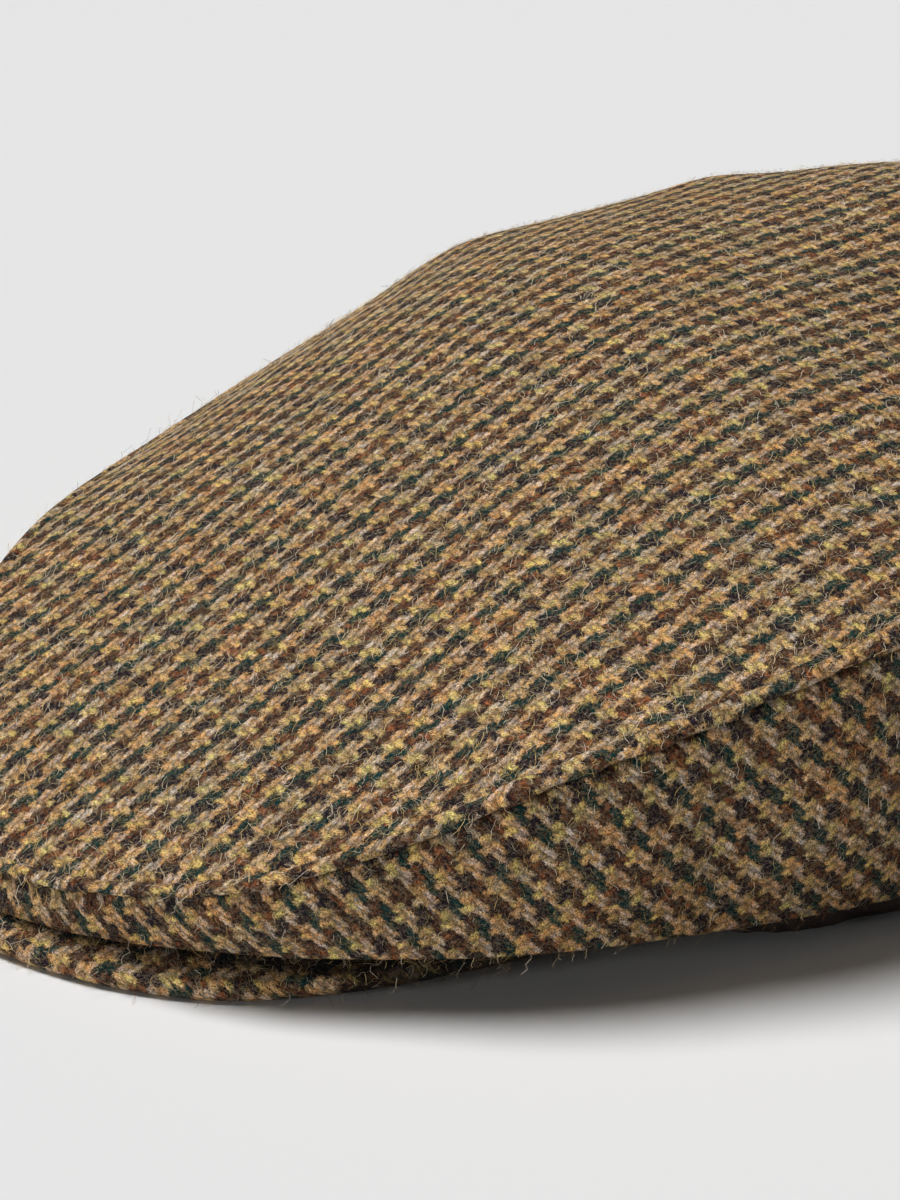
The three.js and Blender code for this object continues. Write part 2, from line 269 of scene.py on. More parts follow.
# height of the crown over a level grid
def crownGrid():
    turns = placesRound(220)
    shares = np.linspace(0, 1, 45)
    points = crownPoint(turns[:, None] + 0 * shares, shares[None, :] + 0 * turns[:, None])
    index = np.arange(points.shape[0] * points.shape[1]).reshape(points.shape[:2])
    after = np.roll(index, -1, 0)
    faces = np.stack([index[:, :-1], index[:, 1:], after[:, 1:], after[:, :-1]], -1)
    tree = BVHTree.FromPolygons(points.reshape(-1, 3).tolist(), faces.reshape(-1, 4).tolist())
    xs = np.arange(-114, 115, gridStep)
    ys = np.arange(-141, 148, gridStep)
    height = np.full((len(xs), len(ys)), np.nan)
    for i, x in enumerate(xs):
        for j, y in enumerate(ys):
            hit = tree.ray_cast(Vector((x, y, 200)), Vector((0, 0, -1)))[0]
            if hit:
                height[i, j] = hit.z
    return xs, ys, height


# arc lengths over the crown, across it from its middle and along it
crownX, crownY, crownHeight = crownGrid()
stepX = np.nan_to_num(np.diff(crownHeight, axis=0))
stepY = np.nan_to_num(np.diff(crownHeight, axis=1))
middleColumn = int(np.argmin(abs(crownX)))
acrossSteps = np.hypot(gridStep, np.clip(stepX, -steepest, steepest))
acrossArc = np.vstack([np.zeros(len(crownY)), np.cumsum(acrossSteps, 0)])
acrossArc = acrossArc - acrossArc[middleColumn]
alongSteps = np.hypot(gridStep, np.clip(stepY[middleColumn], -steepest, steepest))
alongArc = np.concatenate([[0], np.cumsum(alongSteps)])
alongArc = alongArc - np.interp(check["countFrom"], crownY, alongArc)


def topCloth(points):
    x, y = points[..., 0], points[..., 1]
    column = np.clip((x - crownX[0]) / gridStep, 0, len(crownX) - 1.001)
    row = np.clip((y - crownY[0]) / gridStep, 0, len(crownY) - 1.001)
    i, j = column.astype(int), row.astype(int)
    f, g = column - i, row - j
    across = (acrossArc[i, j] * (1 - f) + acrossArc[i + 1, j] * f) * (1 - g) + (
        acrossArc[i, j + 1] * (1 - f) + acrossArc[i + 1, j + 1] * f) * g
    along = np.interp(y, crownY, alongArc)
    ahead = np.maximum(-y - lengthMiddle, 0) / 100
    v = across / check["pair"] + check["topStart"][0]
    u = along / check["pair"] + check["topStart"][1]
    u = u + check["frontEase"] * ahead ** 2 - check["sideSweep"] * (x / 100) ** 2
    return np.stack([v, u], -1)


print("shape ready")


# a side panel laid out flat, in millimetres
def flatSide(turns):
    seam = crownPoint(turns, np.ones_like(turns))
    hem = hemPoint(turns)
    flatSeam = [np.zeros(2)]
    flatHem = [np.array([0, -np.linalg.norm(hem[0] - seam[0])])]

    # the point so far from a and so far from b, to the left of the way from a to b
    def third(a, b, fromA, fromB):
        span = np.linalg.norm(b - a)
        along = (fromA ** 2 - fromB ** 2 + span ** 2) / (2 * span)
        off = math.sqrt(max(fromA ** 2 - along ** 2, 0))
        ahead = (b - a) / span
        return a + ahead * along + np.array([-ahead[1], ahead[0]]) * off

    for k in range(len(turns) - 1):
        a, b = flatSeam[-1], flatHem[-1]
        nextHem = third(a, b, np.linalg.norm(hem[k + 1] - seam[k]),
                        np.linalg.norm(hem[k + 1] - hem[k]))
        nextSeam = third(a, nextHem, np.linalg.norm(seam[k + 1] - seam[k]),
                         np.linalg.norm(seam[k + 1] - hem[k + 1]))
        flatHem.append(nextHem)
        flatSeam.append(nextSeam)
    return np.array(flatSeam), np.array(flatHem)


def sideCloth(turns, shares):
    fine = np.linspace(0, halfRound, 441)
    seam, hem = flatSide(fine)
    base = np.stack([np.interp(turns, fine, seam[:, k]) for k in (0, 1)], -1)
    foot = np.stack([np.interp(turns, fine, hem[:, k]) for k in (0, 1)], -1)
    flat = base + (foot - base) * shares[..., None] - np.array(biasCut["middle"])
    counted = []
    for start, (pair, turn) in zip(biasCut["start"], (biasCut["across"], biasCut["along"])):
        a = math.radians(turn)
        counted.append(start + (flat[..., 0] * math.cos(a) + flat[..., 1] * math.sin(a)) / pair)
    return np.stack(counted, -1)


topPanel = {
    "ribs": 640,
    "rings": 64,
    "wall": 1.8,
    "weltHeight": 1.6,   # the rope that the seam allowance makes under the top panel's edge
    "weltMiddle": 0.7,   # in from the seam
    "weltReach": 1.75,   # half its width
    "weltLumps": 0.18,
    "stitchGroove": 0.3,
    "stitchPlace": 2.6,  # in from the seam
    "stitchReach": 0.5,
    "pucker": 0.16,
    "puckerLength": 9,
    "puckerReach": 7,
    "dents": 0.16,
    "dentSize": 60,
    # rings near the seam, by their distance from it
    "nearSeam": [7.5, 6.3, 5.3, 4.6, 4.0, 3.5, 3.1, 2.8, 2.6, 2.45, 2.3, 2.1, 1.8, 1.45, 1.05, 0.65, 0.25],
    # the rope's round edge, out and up from the seam, as shares of its height
    "ropeEdge": [(0.34, 0.74), (0.6, 0.48), (0.75, 0.14), (0.76, -0.2), (0.58, -0.5), (0.22, -0.66)],
    "foldedUnder": (0.7, 1.6),   # where the cloth ends under the rope, in and down from the seam
}


# height of the seam's rope, less at the front and on the right where the cloth lies slack
def weltAt(turn):
    side, position = ribPlace(turn)
    slack = np.where(side < 0, smoothStep(0.5, 2.5, position) * smoothStep(10.5, 9, position), 0)
    full = 0.42 + 0.58 * smoothStep(1.2, 4.5, position)
    return topPanel["weltHeight"] * full * (1 - 0.8 * slack)


# soft swells of the slack cloth on the right: place across and along, reach, height
swells = [(-84, 26, 14, 2.2), (-62, 72, 10, 1.4)]


def swellAt(points, away):
    rise = 0
    for x, y, reach, height in swells:
        off = np.hypot(points[..., 0] - x, points[..., 1] - y)
        rise = rise + height * np.exp(-(off / reach) ** 2)
    return rise * smoothStep(0, 12, away)


# small gathers along the seam, fainter on the right where the cloth lies slack
def puckerAt(turn):
    around = turn * ribPitch
    strength = np.where(np.mod(turn, fullRound) <= halfRound, 1, 0.3)
    return strength * softNoise(around, 0 * around, 11, topPanel["puckerLength"])


def makeTopPanel():
    v = topPanel
    turns = placesRound(v["ribs"])
    one = np.ones_like(turns)
    endSpeed = np.linalg.norm(crownPoint(turns, one) - crownPoint(turns, 0.98 * one), axis=-1) / 0.02
    nearShares = 1 - np.array(v["nearSeam"])[None, :] / endSpeed[:, None]
    inner = np.linspace(0, 1, v["rings"])[None, :-1] * nearShares[:, :1]
    shares = np.concatenate([inner, nearShares], 1)
    away = (1 - shares) * endSpeed[:, None]
    grid = turns[:, None] + 0 * shares
    points = crownPoint(grid, shares)
    normals = outwardNormal(crownPoint, grid, shares)
    normals[:, 0] = normals[:, 1]
    lumps = 1 + v["weltLumps"] * puckerAt(grid)
    rope = np.sqrt(np.clip(1 - ((away - v["weltMiddle"]) / v["weltReach"]) ** 2, 0, 1))
    welt = weltAt(grid) * lumps * rope
    groove = -v["stitchGroove"] * np.exp(-((away - v["stitchPlace"]) / v["stitchReach"]) ** 2)
    pucker = v["pucker"] * puckerAt(grid) * np.exp(-away / v["puckerReach"])
    dents = v["dents"] * softNoise(points[..., 0], points[..., 1], 5, v["dentSize"])
    dents = dents * smoothStep(0, 25, away)
    lift = welt + groove + pucker + dents + swellAt(points, away)
    outer = points + normals * lift[..., None]
    corner = crownPoint(turns, one)
    topNormal = outwardNormal(crownPoint, turns, 0.995 * one)
    outwards = unit(crownPoint(turns, one) - crownPoint(turns, 0.97 * one))
    tall = (weltAt(turns) * lumps[:, -1])[:, None]
    edge = []
    for out, up in v["ropeEdge"]:
        edge.append(corner + outwards * out * tall + topNormal * up * tall)
    inFrom, downFrom = v["foldedUnder"]
    under = corner - topNormal * downFrom - outwards * inFrom
    edge = np.stack(edge + [under], 1)
    innerShares = np.concatenate([np.array([0.985]), np.linspace(0.9, 0, 12)])
    innerGrid = turns[:, None] + 0 * innerShares
    shareGrid = innerShares[None, :] + 0 * innerGrid
    innerNormals = outwardNormal(crownPoint, innerGrid, shareGrid)
    innerNormals[:, -1] = innerNormals[:, -2]
    inside = crownPoint(innerGrid, shareGrid)
    swell = swellAt(inside, (1 - shareGrid) * endSpeed[:, None])
    inside = inside + innerNormals * (swell - v["wall"])[..., None]
    inside[:, -1] = crownPoint(turns, 0 * one) - np.array([0, 0, v["wall"]])
    sections = np.concatenate([outer, edge, inside], 1)
    # the cloth runs on round the seam edge at its own pace
    cloth = topCloth(np.concatenate([points, 0 * edge, inside], 1))
    perStep = topCloth(points[:, -1]) - topCloth(points[:, -1] - outwards)
    roll = np.concatenate([outer[:, -1:], edge], 1)
    rolled = np.cumsum(np.linalg.norm(np.diff(roll, axis=1), axis=2), 1)
    last = outer.shape[1]
    cloth[:, last:last + edge.shape[1]] = (
        topCloth(points[:, -1])[:, None] + perStep[:, None] * rolled[..., None])
    shown = np.concatenate([np.ones(last + 3), np.zeros(4 + inside.shape[1])])
    # painted shade: the stitched line is a little darker, and the edge is dark where it is folded under
    paintedShade = np.zeros(sections.shape[:2])
    paintedShade[:, :last] = 0.35 * np.exp(-((away - 2.7) / 0.5) ** 2) * tall / v["weltHeight"]
    paintedShade[:, last:last + 7] = (0, 0, 0.1, 0.4, 0.8, 1, 1)
    mesh = sweptMesh("top_cloth", sections, cloth, True, False, shown, paintedShade)
    return finishedObject("top_cloth", mesh)


sidePanel = {
    "ribs": 330,
    "rows": 34,
    "wall": 1.8,
    "hemWall": 2.8,
    "creaseDepth": 2.2,  # under the seam's rope
    "creaseReach": 1.6,
    "rollHeight": 0.35,  # the cloth swells again under the crease
    "rollPlace": 3.4,
    "rollReach": 1.4,
    "pucker": 0.8,       # as a share of the top panel's
    "puckerReach": 6,
    "joinDepth": 0.6,    # the groove where the two side panels meet, front and back
    "joinReach": 1.2,
    "dents": 0.5,
    "dentSize": 30,
    "hollow": (137, 24, 1.1),   # on the left: place along the seam, place down from it, depth
    "nearSeam": [0.0, 0.4, 0.8, 1.2, 1.6, 2.0, 2.5, 3.1, 3.9],
}


def makeSidePanel(name, side):
    v = sidePanel
    turns = np.linspace(0, halfRound, v["ribs"])
    turnsThere = turns if side > 0 else fullRound - turns
    rib = throughRows(sideRibs, turns)
    one = np.ones_like(turns)
    tallness = np.linalg.norm(hemPoint(turnsThere) - crownPoint(turnsThere, one), axis=-1)
    nearShares = np.array(v["nearSeam"])[None, :] / tallness[:, None]
    lower = nearShares[:, -1:] + (1 - nearShares[:, -1:]) * np.linspace(0, 1, v["rows"])[None, 1:]
    shares = np.concatenate([nearShares, lower], 1)
    away = shares * tallness[:, None]
    grid = turnsThere[:, None] + 0 * shares
    points = sidePoint(grid, shares)
    normals = -outwardNormal(sidePoint, grid, shares) * side
    normals = normals * np.sign(np.sum(normals * hemOutward(grid), -1, keepdims=True))
    tall = weltAt(grid)
    fullness = tall / topPanel["weltHeight"]
    crease = -v["creaseDepth"] * np.exp(-(away / v["creaseReach"]) ** 2) * fullness
    roll = v["rollHeight"] * np.exp(-((away - v["rollPlace"]) / v["rollReach"]) ** 2) * fullness
    pucker = v["pucker"] * topPanel["pucker"] * puckerAt(grid) * np.exp(-away / v["puckerReach"])
    fine = np.linspace(0, halfRound, 221)
    along = np.interp(turns, fine, flatSide(fine)[0][:, 0])
    dents = v["dents"] * softNoise(along[:, None] + 0 * away, away, 23 + side, v["dentSize"])
    dents = dents * smoothStep(0, 12, away) * smoothStep(0, 8, tallness[:, None] - away)
    if side > 0:
        ahead, down, depth = v["hollow"]
        dents = dents - depth * np.exp(-((along[:, None] - ahead) / 9) ** 2 - ((away - down) / 12) ** 2)
    fromEnds = np.minimum(along - along[0], along[-1] - along)[:, None]
    join = -v["joinDepth"] * np.exp(-(fromEnds / v["joinReach"]) ** 2)
    outer = points + normals * (crease + roll + pucker + dents + join)[..., None]
    out = hemOutward(turnsThere)
    low = outer[:, -1]
    radius = v["hemWall"] / 2
    turned = []
    for angle in (25, 55, 90, 125, 155):
        a = math.radians(angle)
        turned.append(low - out * radius * (1 - math.cos(a)) * np.array([1, 1, 0])
                      - np.array([0, 0, 1]) * 0.55 * math.sin(a))
    tuckEnd = low - out * rib["turnIn"][:, None]
    tuckEnd[:, 2] = np.maximum(low[:, 2] + rib["turnUp"], 0)
    tuckTop = tuckEnd + np.array([0, 0, v["wall"]])
    innerShares = np.linspace(0.94, 0.03, 9)
    innerGrid = turnsThere[:, None] + 0 * innerShares
    shareGrid = innerShares[None, :] + 0 * innerGrid
    inward = unit(-hemOutward(innerGrid) + np.array([0, 0, 0.12]))
    wall = v["wall"] + (v["hemWall"] - v["wall"]) * shareGrid ** 4
    inside = sidePoint(innerGrid, shareGrid) + inward * wall[..., None]
    lifted = np.stack(turned, 1)
    lifted[..., 2] = np.maximum(lifted[..., 2], 0)
    outer[..., 2] = np.maximum(outer[..., 2], 0)
    sections = np.concatenate([outer, lifted, tuckEnd[:, None], tuckTop[:, None], inside], 1)
    allShares = np.concatenate([
        shares,
        1 + np.array([0.6, 1.4, 2.4, 3.2, 3.8])[None, :] / tallness[:, None],
        1 + (2.8 + rib["turnIn"][:, None]) / tallness[:, None],
        1 + (3.2 + rib["turnIn"][:, None]) / tallness[:, None],
        shareGrid], 1)
    cloth = sideCloth(turns[:, None] + 0 * allShares, allShares) * np.array([side, 1])
    last = outer.shape[1]
    shown = np.concatenate([np.zeros(4), np.ones(last - 1), np.zeros(4 + inside.shape[1])])
    # painted shade where the cloth is folded away: under the seam's rope, where the two side panels
    # meet, and at the lip over the peak
    overPeak = smoothStep(5.0, 4.0, turns)[:, None]
    paintedShade = np.zeros(sections.shape[:2])
    paintedShade[:, :last] = np.exp(-(away / 1.35) ** 2) * (0.5 + 0.5 * fullness)
    paintedShade[:, :last] = np.maximum(paintedShade[:, :last], 0.6 * np.exp(-(fromEnds / 0.8) ** 2))
    paintedShade[:, last - 1:last + 7] = overPeak * np.array([0.12, 0.45, 0.8, 1, 1, 1, 1, 1])
    sections[0, :, 0] = side * 0.12
    sections[-1, :, 0] = side * 0.12
    mesh = sweptMesh(name, sections, cloth, False, True, shown, paintedShade)
    return finishedObject(name, mesh, closeEnds=True)


# how far inside the side panels' lower edge a point lies, seen from above
def insideHem(points):
    middle = np.array([0, 20])
    edge = hemPoint(placesRound(440))[:, :2] - middle
    off = points[..., :2] - middle
    bearing = np.arctan2(off[..., 0], -off[..., 1])
    reach = np.interp(bearing, np.arctan2(edge[:, 0], -edge[:, 1]), np.hypot(edge[:, 0], edge[:, 1]),
                      period=2 * math.pi)
    return reach - np.hypot(off[..., 0], off[..., 1])


peakPiece = {
    "stations": 220,
    "steps": 30,
    "wall": 3.9,
    "edgeSteps": 12,
    "shadeFrom": -1.8,   # the lip darkens the peak from just outside its edge to this far under it
    "shadeTo": 1.9,
}


def makePeak():
    v = peakPiece
    radius = v["wall"] / 2
    corner = len(peakRibs["outerX"]) - 1
    k = np.linspace(-corner, corner, v["stations"])
    side = np.where(k < 0, -1, 1)
    rib = throughRows(peakRibs, abs(k), hasCorner=True)
    onFloor = np.maximum(rib["outerZ"], 0)
    outer = np.stack([side * rib["outerX"], rib["outerY"] - lengthMiddle, onFloor], -1)
    inner = np.stack([side * rib["innerX"], rib["innerY"] - lengthMiddle, rib["innerZ"]], -1)
    back = (inner - outer) * np.array([1, 1, 0])
    level = unit(back)

    def face(share, height):
        start = outer + level * radius
        point = start + (inner - level * radius - start) * share
        point[:, 2] = outer[:, 2] + (inner[:, 2] - outer[:, 2]) * share + height
        return point

    # the round edge: inner at share 1, outer at share 0
    def edge(share, a):
        way = 1 if share else -1
        return face(share, radius - radius * math.cos(a)) + level * way * radius * math.sin(a)

    faceShares = np.linspace(0, 1, v["steps"])
    bends = np.linspace(0, math.pi, v["edgeSteps"])[1:-1]
    rings = [face(share, 0) for share in faceShares]
    rings += [edge(1, a) for a in bends]
    rings += [face(share, v["wall"]) for share in np.linspace(1, 0, v["steps"])]
    rings += [edge(0, a) for a in bends[::-1]]
    sections = np.stack(rings, 1)
    # cloth laid back from the outer edge, over the top and under the bottom
    depth = np.linalg.norm(back, axis=-1)[:, None] - 2 * radius
    half = math.pi * radius / 2
    curl = np.linspace(half, -half, v["edgeSteps"])[1:-1]
    hidden = np.linspace(-1, 1, v["edgeSteps"])[1:-1]
    laid = np.concatenate([-half - faceShares * depth, hidden * (half + depth),
                           half + faceShares[::-1] * depth, curl + 0 * depth], 1)
    flat = outer[:, None, :2] + level[:, None, :2] * laid[..., None]
    cloth = flat / check["pair"] + np.array(check["peakStart"])
    shown = np.concatenate([np.ones(v["steps"]), np.zeros(v["edgeSteps"] - 2),
                            np.ones(v["steps"] + v["edgeSteps"] - 2)])
    # painted shade of the lip over the peak, none on the peak's lower face
    paintedShade = smoothStep(v["shadeFrom"], v["shadeTo"], insideHem(sections))
    paintedShade[:, :v["steps"]] = 0
    mesh = sweptMesh("peak_cloth", sections, cloth, False, True, shown, paintedShade)
    return finishedObject("peak_cloth", mesh, closeEnds=True)


liningPiece = {
    "ribs": 600,
    "rings": 16,
    "rows": 28,
    "wall": 0.9,
    "clearance": 1.2,
    "foldDepth": 1.1,
    "foldLength": 17,
    "gather": 0.75,      # small gathers where the satin is felled to the lower edge
    "gatherLength": 9,
}


def makeLining():
    v = liningPiece
    depth = topPanel["wall"] + v["clearance"]
    turns = placesRound(v["ribs"])
    side, position = ribPlace(turns)
    rib = throughRows(liningRibs, position)
    rim = np.stack([side * rib["rimX"], rib["rimY"] - lengthMiddle, rib["rimZ"]], -1)
    level = unit(rim * np.array([1, 1, 0]))
    around = turns * ribPitch
    folds = softNoise(around, 0 * around, 31, v["foldLength"])
    gathers = 1 - 1.6 * np.abs(softNoise(around, 0 * around, 47, v["gatherLength"]))

    def skin(offset):
        domeShares = np.linspace(0, 1, v["rings"])[None, :] * rib["topShare"][:, None]
        grid = turns[:, None] + 0 * domeShares
        normals = outwardNormal(crownPoint, grid, domeShares)
        normals[:, 0] = np.array([0, 0, 1])
        dome = crownPoint(grid, domeShares) - normals * offset
        foot = rim + level * (depth - offset)
        down = np.linspace(0, 1, v["rows"])[1:]
        wall = dome[:, -1:] + (foot[:, None] - dome[:, -1:]) * down[None, :, None]
        depthHere = v["foldDepth"] * (0.6 + 0.5 * folds[:, None])
        ripple = -depthHere * np.sin(math.pi * down[None, :] ** 1.4) ** 0.7
        nearRim = smoothStep(0.55, 0.85, down) * smoothStep(1.08, 0.94, down)
        pinch = v["gather"] * gathers[:, None] * nearRim
        wall = wall + level[:, None] * np.minimum(ripple + pinch, 0.8)[..., None]
        return np.concatenate([dome, wall], 1)

    outside = skin(depth)
    inside = skin(depth + v["wall"])[:, ::-1]
    sections = np.concatenate([outside, inside], 1)
    steps = np.linalg.norm(np.diff(sections, axis=1), axis=2)
    lengths = np.cumsum(np.concatenate([np.zeros((len(turns), 1)), steps], 1), 1)
    cloth = np.stack([around[:, None] + 0 * lengths, lengths], -1) * 0.1
    shown = np.zeros(sections.shape[1])
    mesh = sweptMesh("lining_cloth", sections, cloth, True, False, shown, 0)
    return finishedObject("lining_cloth", mesh)


topCap = makeTopPanel()
sideLeft = makeSidePanel("side_cloth_left", 1)
sideRight = makeSidePanel("side_cloth_right", -1)
peakCloth = makePeak()
liningCloth = makeLining()
for piece in (topCap, sideLeft, sideRight, peakCloth, liningCloth):
    piece.data.calc_loop_triangles()
    print(piece.name, len(piece.data.loop_triangles), "triangles")


# nodes for one tree: sockets are fed with a value or with another node's output
class nodeBuilder:
    def __init__(self, tree):
        self.tree = tree

    def add(self, kind, sockets=None, **settings):
        node = self.tree.nodes.new(kind)
        for name, value in settings.items():
            setattr(node, name, value)
        for name, value in (sockets or {}).items():
            self.feed(node.inputs[name], value)
        return node

    def feed(self, socket, value):
        if isinstance(value, bpy.types.NodeSocket):
            self.tree.links.new(value, socket)
        elif value is not None:
            socket.default_value = value

    def math(self, operation, a, b=None, c=None):
        return self.add("ShaderNodeMath", {0: a, 1: b, 2: c}, operation=operation).outputs[0]

    def product(self, *factors):
        total = factors[0]
        for factor in factors[1:]:
            total = self.math("MULTIPLY", total, factor)
        return total

    def vector(self, operation, a, b=None, scale=None):
        node = self.add("ShaderNodeVectorMath", {0: a, 1: b, 3: scale}, operation=operation)
        return node.outputs[0]

    def combine(self, x, y, z=0.0):
        return self.add("ShaderNodeCombineXYZ", {0: x, 1: y, 2: z}).outputs[0]

    def noise(self, vector, scale, detail=2.0, roughness=0.5, output="Fac"):
        sockets = {"Vector": vector, "Scale": scale, "Detail": detail, "Roughness": roughness}
        return self.add("ShaderNodeTexNoise", sockets).outputs[output]

    def mix(self, factor, a, b):
        return self.add("ShaderNodeMix", {6: a, 7: b, "Factor": factor}, data_type="RGBA").outputs[2]

    def spread(self, value, low, high, toLow=0.0, toHigh=1.0):
        sockets = {0: value, 1: low, 2: high, 3: toLow, 4: toHigh}
        return self.add("ShaderNodeMapRange", sockets, interpolation_type="SMOOTHSTEP").outputs[0]

    def bump(self, height, strength, distance):
        sockets = {"Strength": strength, "Distance": distance, "Height": height}
        return self.add("ShaderNodeBump", sockets).outputs[0]


tweed = {
    "teal": (0.003, 0.038, 0.034, 1),
    "charcoal": (0.018, 0.009, 0.018, 1),
    "brown": (0.125, 0.044, 0.018, 1),
    "rust": (0.33, 0.105, 0.036, 1),
    "umber": (0.026, 0.011, 0.014, 1),
    "gold": (0.86, 0.65, 0.21, 1),
    "ochre": (0.80, 0.46, 0.18, 1),
    "tan": (0.78, 0.53, 0.30, 1),
    "pink": (0.76, 0.60, 0.50, 1),
    "hair": (0.86, 0.70, 0.48, 1),
    "inPaintedShade": 0.12,     # how much of its brightness cloth keeps in the painted shade
    "sheen": 0.02,
    "relief": 0.00045,
}
tweedColours = [name for name, value in tweed.items() if isinstance(value, tuple)]


def tweedGroup():
    tree = bpy.data.node_groups.new("checked tweed", "ShaderNodeTree")
    tree.interface.new_socket("Cloth", in_out="INPUT", socket_type="NodeSocketVector")
    for name in tweedColours:
        tree.interface.new_socket(name, in_out="INPUT", socket_type="NodeSocketColor")
    for name, kind in (("Color", "Color"), ("Height", "Float"), ("Roughness", "Float")):
        tree.interface.new_socket(name, in_out="OUTPUT", socket_type="NodeSocket" + kind)
    b = nodeBuilder(tree)
    given = b.add("NodeGroupInput").outputs
    cloth = given["Cloth"]
    yarnTone = {name: given[name] for name in tweedColours}
    threads = b.vector("SCALE", cloth, scale=4)
    for scale, amount, detail in ((0.6, 0.8, 1), (3.0, 1.0, 2), (11, 1.1, 2), (30, 1.0, 3)):
        wander = b.noise(cloth, scale, detail, 0.6, output="Color")
        wander = b.vector("SUBTRACT", wander, (0.5, 0.5, 0.5))
        threads = b.vector("ADD", threads, b.vector("SCALE", wander, scale=amount))
    x, y = b.add("ShaderNodeSeparateXYZ", {0: threads}).outputs[:2]
    i, j = b.math("FLOOR", x), b.math("FLOOR", y)

    # height of a yarn where it passes over two others
    def passing(acrossPlace, acrossIndex, alongPlace, shift):
        off = b.math("SUBTRACT", b.math("SUBTRACT", acrossPlace, acrossIndex), 0.5)
        rounded = b.math("COSINE", b.product(off, math.pi * 0.85))
        phase = b.math("ADD", b.math("SUBTRACT", alongPlace, acrossIndex), shift)
        phase = b.math("SUBTRACT", b.math("WRAP", phase, 4.0, 0.0), 2.0)
        arched = b.math("COSINE", b.product(phase, math.pi * 0.5))
        return b.product(rounded, b.math("ADD", arched, 0.4))

    warpHigh = passing(x, i, y, 0.0)
    weftHigh = passing(y, j, x, 1.0)
    rag = b.product(b.math("SUBTRACT", b.noise(cloth, 38, 3, 0.7), 0.5), 1.5)
    lead = b.math("ADD", b.math("SUBTRACT", warpHigh, weftHigh), rag)
    warpOver = b.spread(lead, -0.2, 0.2)

    # soft patches where the fleece was blended
    def patchy(scale, seed, low, high):
        place = b.vector("ADD", cloth, (seed, seed * 0.7, 0))
        return b.spread(b.noise(place, scale, 2, 0.6), low, high)

    weftLight = b.mix(patchy(1.5, 31, 0.42, 0.56), yarnTone["gold"], yarnTone["ochre"])
    weftLight = b.mix(patchy(2.2, 17, 0.48, 0.62), weftLight, yarnTone["tan"])
    warpLight = b.mix(patchy(2.6, 5, 0.4, 0.6), yarnTone["tan"], yarnTone["pink"])
    warpLight = b.mix(patchy(3.3, 12, 0.46, 0.6), warpLight, yarnTone["ochre"])
    russet = b.product(patchy(3.0, 61, 0.5, 0.64), 0.4)
    weftLight = b.mix(russet, weftLight, yarnTone["rust"])
    warpLight = b.mix(russet, warpLight, yarnTone["rust"])
    brown = b.mix(patchy(3.4, 23, 0.42, 0.6), yarnTone["brown"], yarnTone["umber"])
    brown = b.mix(patchy(2.2, 37, 0.52, 0.66), brown, yarnTone["rust"])

    # eight yarns to a repeat: two of the named colour, two light, two brown, two light
    def stripes(index, named, light):
        middle = b.math("ADD", index, 0.5)
        dark = b.math("LESS_THAN", b.math("WRAP", middle, 4.0, 0.0), 2.0)
        second = b.math("GREATER_THAN", b.math("WRAP", middle, 8.0, 0.0), 3.5)
        return b.mix(dark, light, b.mix(second, yarnTone[named], brown))

    colour = b.mix(warpOver, stripes(j, "charcoal", weftLight), stripes(i, "teal", warpLight))

    # curled fibres of the milled surface: thin lines that wander over the yarns
    def fibres(scale, seed, width, thick, low):
        place = b.vector("ADD", cloth, (seed, -seed, 0))
        sockets = {"Vector": place, "Scale": scale, "Detail": 1.5, "Distortion": 0.7}
        field = b.add("ShaderNodeTexNoise", sockets).outputs[0]
        line = b.math("ABSOLUTE", b.math("SUBTRACT", field, 0.5))
        line = b.spread(line, width * 0.3, width, 1.0, 0.0)
        shows = b.noise(b.vector("ADD", cloth, (-seed, seed, 3)), thick, 2)
        return b.product(line, b.spread(shows, low, low + 0.12))

    hairTone = b.mix(patchy(6, 41, 0.45, 0.6), yarnTone["hair"], weftLight)
    fine = b.math("MAXIMUM", fibres(8, 3, 0.075, 6, 0.47), fibres(12, 8, 0.09, 8, 0.48))
    coarse = fibres(5, 14, 0.035, 3.5, 0.48)
    hair = b.math("MAXIMUM", fine, coarse)

    # strands run along their yarn, a little twisted
    def twisted(along, across, lean):
        sockets = {"Vector": cloth, "Angle": lean}
        turned = b.add("ShaderNodeVectorRotate", sockets, rotation_type="Z_AXIS").outputs[0]
        return b.noise(b.vector("MULTIPLY", turned, (across, along, 1)), 1.0, 3, 0.65)

    strands = b.mix(warpOver, twisted(26, 8, -0.3), twisted(8, 26, 0.3))
    grain = b.product(b.noise(cloth, 15, 3, 0.75), 0.5)
    grain = b.math("ADD", grain, b.product(strands, 0.5))
    strand = b.product(fibres(10, 21, 0.09, 7, 0.44), 0.5)
    shade = b.math("SUBTRACT", b.spread(grain, 0.35, 0.65, 0.3, 1.72), strand)
    high = b.math("MAXIMUM", warpHigh, weftHigh)
    # painted shade in the low places between the yarns and a little painted light on their crowns
    deep = b.spread(high, 0.05, 0.95, 0.26, 1.15)
    cast = b.spread(b.noise(cloth, 0.9, 3, 0.65), 0.3, 0.7, 0.7, 1.2)
    lot = b.mix(patchy(0.45, 51, 0.4, 0.6), (1.07, 0.98, 0.90, 1), (0.94, 1.02, 1.05, 1))
    body = b.vector("SCALE", colour, scale=b.product(shade, deep, cast))
    body = b.vector("MULTIPLY", body, lot)
    body = b.mix(b.product(hair, 0.25), body, hairTone)

